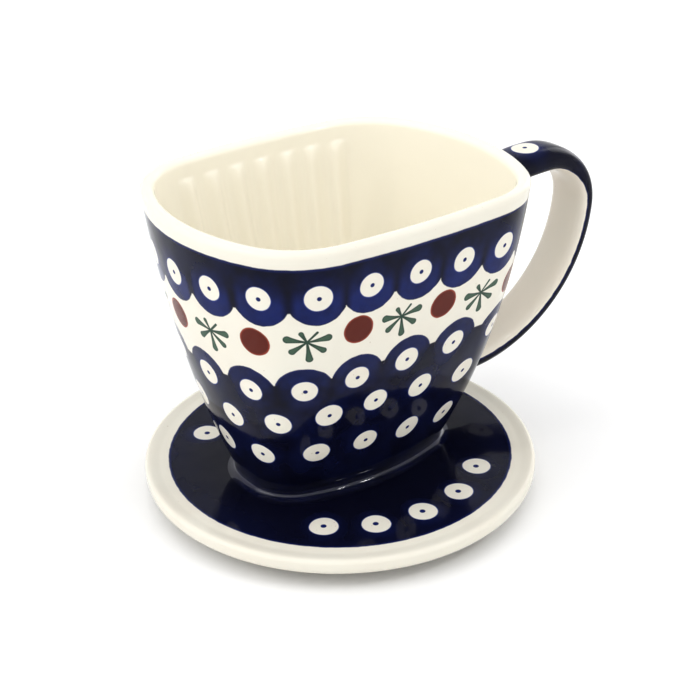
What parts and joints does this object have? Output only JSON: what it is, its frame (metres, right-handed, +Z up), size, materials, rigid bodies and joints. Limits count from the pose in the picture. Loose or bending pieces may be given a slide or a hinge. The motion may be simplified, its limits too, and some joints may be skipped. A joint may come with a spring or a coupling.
{
  "type": "coffee filter holder",
  "caption": "Glazed stoneware pour-over filter holder: a ribbed wedge-shaped cone on a round flange that sits on a mug, with a strap handle.",
  "frame": {"origin": "on the axis of the locating ring, in the plane of the flange's underside, which is the seat on a mug", "axes": "+Z up along the ring's axis, +X towards the handle, +Y across the cone; symmetric about the XZ plane"},
  "size_m": [0.1638, 0.125, 0.1027],
  "materials": {
    "decorated_cone": "clear gloss glaze over stamped cobalt decoration, plain cream inside and at the rim",
    "decorated_flange": "clear gloss glaze over a cobalt disc with a cream border",
    "decorated_handle": "clear gloss glaze, cobalt on the back and edges, cream on the palm side",
    "cobalt_joint": "clear gloss glaze over cobalt, pooled in the joint",
    "bare_foot": "glazed sides and a wiped, unglazed foot of fine pale stoneware"
  },
  "bodies": {
    "root": {"locating_ring": "bare_foot", "base_flange": "decorated_flange", "filter_cone": "decorated_cone", "cone_luting_bead": "cobalt_joint", "handle": "decorated_handle", "handle_upper_luting_bead": "cobalt_joint", "handle_lower_luting_bead": "cobalt_joint"}
  },
  "joints": []
}
